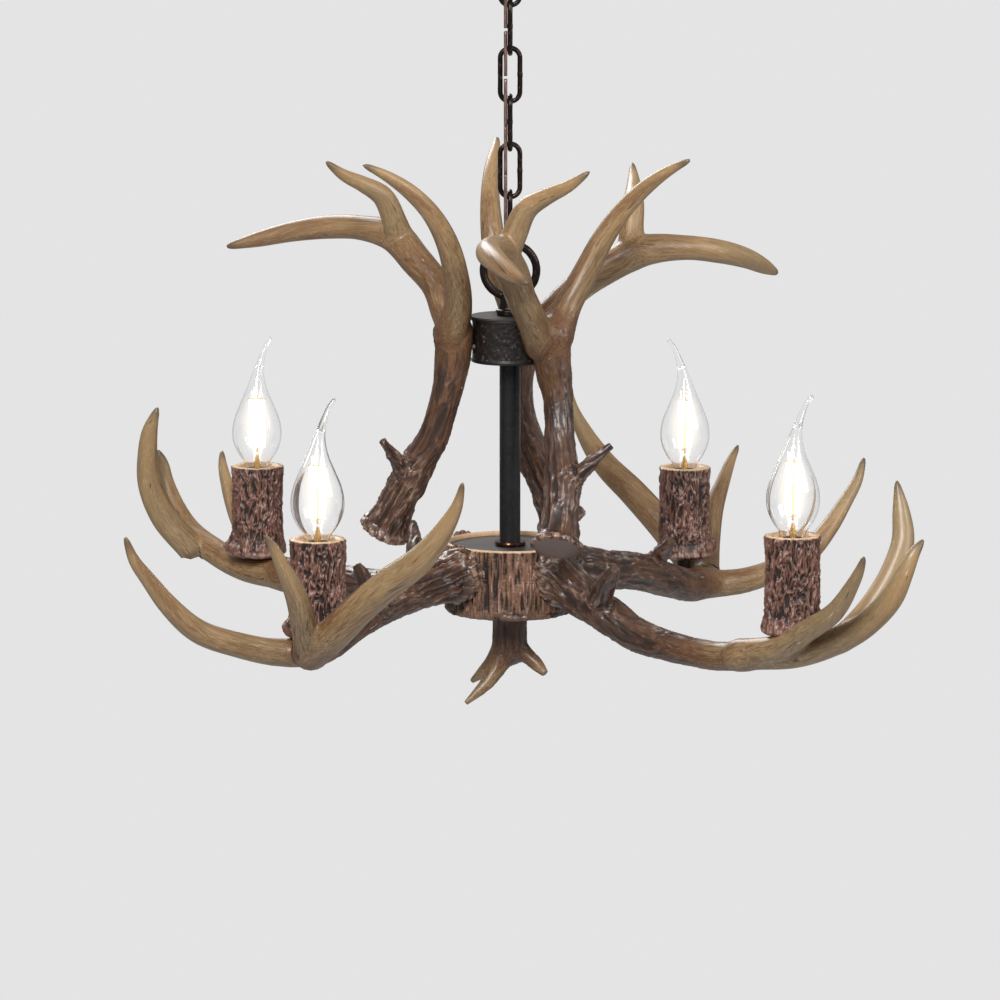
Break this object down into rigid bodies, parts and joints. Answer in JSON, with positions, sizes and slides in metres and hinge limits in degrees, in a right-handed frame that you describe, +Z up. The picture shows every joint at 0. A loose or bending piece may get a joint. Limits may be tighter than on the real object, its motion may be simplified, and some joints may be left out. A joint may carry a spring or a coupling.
{
  "type": "antler chandelier",
  "caption": "Rustic ceiling light of cast antlers round two hubs, with candle sleeves and flame-tip bulbs, hung on a chain from a canopy.",
  "frame": {"origin": "centre of the mounting bracket's slots, on the ceiling plane", "axes": "+Z up, out of the bracket into the ceiling; +X to the right seen from the pictured front; -Y towards the viewer"},
  "size_m": [0.534, 0.5557, 0.6103],
  "materials": {
    "zinc_steel": "zinc plated",
    "green_steel": "green screw",
    "dark_bronze": "dark bronze, worn",
    "hammered_black": "dark brown-black, speckled",
    "stem_black": "satin black",
    "worn_bronze": "rubbed bronze",
    "plate_grey": "dark grey, satin",
    "antler_resin": "cast resin painted as antler",
    "hub_bark": "cast resin painted as bark",
    "sleeve_bark": "cast resin painted as bark",
    "socket_plastic": "moulded",
    "white_plastic": "moulded",
    "cap_nickel": "nickel plated",
    "bulb_glass": "clear",
    "filament_glow": "lit filament",
    "cord_jacket": "translucent brown jacket"
  },
  "bodies": {
    "ceiling_fitting": {"mounting_bracket": "zinc_steel", "bracket_nipple": "zinc_steel", "bracket_nut": "zinc_steel", "ground_screw": "green_steel", "canopy": "dark_bronze", "canopy_loop": "dark_bronze", "supply_cord": "cord_jacket"},
    "link_7": {"chain_link_7": "dark_bronze"},
    "link_6": {"chain_link_6": "dark_bronze"},
    "link_5": {"chain_link_5": "dark_bronze"},
    "link_4": {"chain_link_4": "dark_bronze"},
    "link_3": {"chain_link_3": "dark_bronze"},
    "link_2": {"chain_link_2": "dark_bronze"},
    "link_1": {"chain_link_1": "dark_bronze"},
    "bulb_front_left": {"bulb_cap_front_left": "cap_nickel", "bulb_glass_front_left": "bulb_glass", "bulb_filament_front_left": "filament_glow"},
    "bulb_front_right": {"bulb_cap_front_right": "cap_nickel", "bulb_glass_front_right": "bulb_glass", "bulb_filament_front_right": "filament_glow"},
    "bulb_back_right": {"bulb_cap_back_right": "cap_nickel", "bulb_glass_back_right": "bulb_glass", "bulb_filament_back_right": "filament_glow"},
    "bulb_back_left": {"bulb_cap_back_left": "cap_nickel", "bulb_glass_back_left": "bulb_glass", "bulb_filament_back_left": "filament_glow"},
    "light": {"branch_wires": "cord_jacket", "candle_sleeve_back_left": "sleeve_bark", "candle_sleeve_back_right": "sleeve_bark", "candle_sleeve_front_left": "sleeve_bark", "candle_sleeve_front_right": "sleeve_bark", "finial": "antler_resin", "lamp_socket_back_left": "socket_plastic", "lamp_socket_back_right": "socket_plastic", "lamp_socket_front_left": "socket_plastic", "lamp_socket_front_right": "socket_plastic", "lower_antler_back_left": "antler_resin", "lower_antler_back_right": "antler_resin", "lower_antler_front_left": "antler_resin", "lower_antler_front_right": "antler_resin", "lower_hub": "hub_bark", "lower_hub_plate": "plate_grey", "pipe_nuts": "zinc_steel", "root_nipples": "zinc_steel", "root_nuts": "zinc_steel", "sleeve_nipples": "zinc_steel", "stem_tube": "stem_black", "stem_washer": "worn_bronze", "terminal_block": "white_plastic", "threaded_pipe": "zinc_steel", "top_loop": "dark_bronze", "upper_antler_back": "antler_resin", "upper_antler_left": "antler_resin", "upper_antler_right": "antler_resin", "upper_antler_screws": "zinc_steel", "upper_hub": "hammered_black", "upper_hub_plate": "dark_bronze"}
  },
  "joints": [
    {"name": "link_7_swing", "type": "hinge", "parent": "ceiling_fitting", "child": "link_7", "pos_m": [0, 0, -0.07125], "axis": [1, 0, 0], "range_deg": [-30, 30], "deforming": ["supply_cord"]},
    {"name": "link_6_swing", "type": "hinge", "parent": "link_7", "child": "link_6", "pos_m": [0, 0, -0.10245], "axis": [0, 1, 0], "range_deg": [-30, 30], "deforming": ["supply_cord"]},
    {"name": "link_5_swing", "type": "hinge", "parent": "link_6", "child": "link_5", "pos_m": [0, 0, -0.13475], "axis": [-1, 0, 0], "range_deg": [-30, 30], "deforming": ["supply_cord"]},
    {"name": "link_4_swing", "type": "hinge", "parent": "link_5", "child": "link_4", "pos_m": [0, 0, -0.16705], "axis": [0, -1, 0], "range_deg": [-30, 30], "deforming": ["supply_cord"]},
    {"name": "link_3_swing", "type": "hinge", "parent": "link_4", "child": "link_3", "pos_m": [0, 0, -0.19935], "axis": [1, 0, 0], "range_deg": [-30, 30], "deforming": ["supply_cord"]},
    {"name": "link_2_swing", "type": "hinge", "parent": "link_3", "child": "link_2", "pos_m": [0, 0, -0.23165], "axis": [0, 1, 0], "range_deg": [-30, 30], "deforming": ["supply_cord"]},
    {"name": "link_1_swing", "type": "hinge", "parent": "link_2", "child": "link_1", "pos_m": [0, 0, -0.26395], "axis": [-1, 0, 0], "range_deg": [-30, 30], "deforming": ["supply_cord"]},
    {"name": "light_swing", "type": "hinge", "parent": "link_1", "child": "light", "pos_m": [0, 0, -0.30065], "axis": [0, -1, 0], "range_deg": [-30, 30], "deforming": ["supply_cord"]},
    {"name": "bulb_front_left_lift", "type": "slide", "parent": "light", "child": "bulb_front_left", "axis": [0, 0, 1], "range_m": [0, 0.035]},
    {"name": "bulb_front_right_lift", "type": "slide", "parent": "light", "child": "bulb_front_right", "axis": [0, 0, 1], "range_m": [0, 0.035]},
    {"name": "bulb_back_right_lift", "type": "slide", "parent": "light", "child": "bulb_back_right", "axis": [0, 0, 1], "range_m": [0, 0.035]},
    {"name": "bulb_back_left_lift", "type": "slide", "parent": "light", "child": "bulb_back_left", "axis": [0, 0, 1], "range_m": [0, 0.035]}
  ]
}
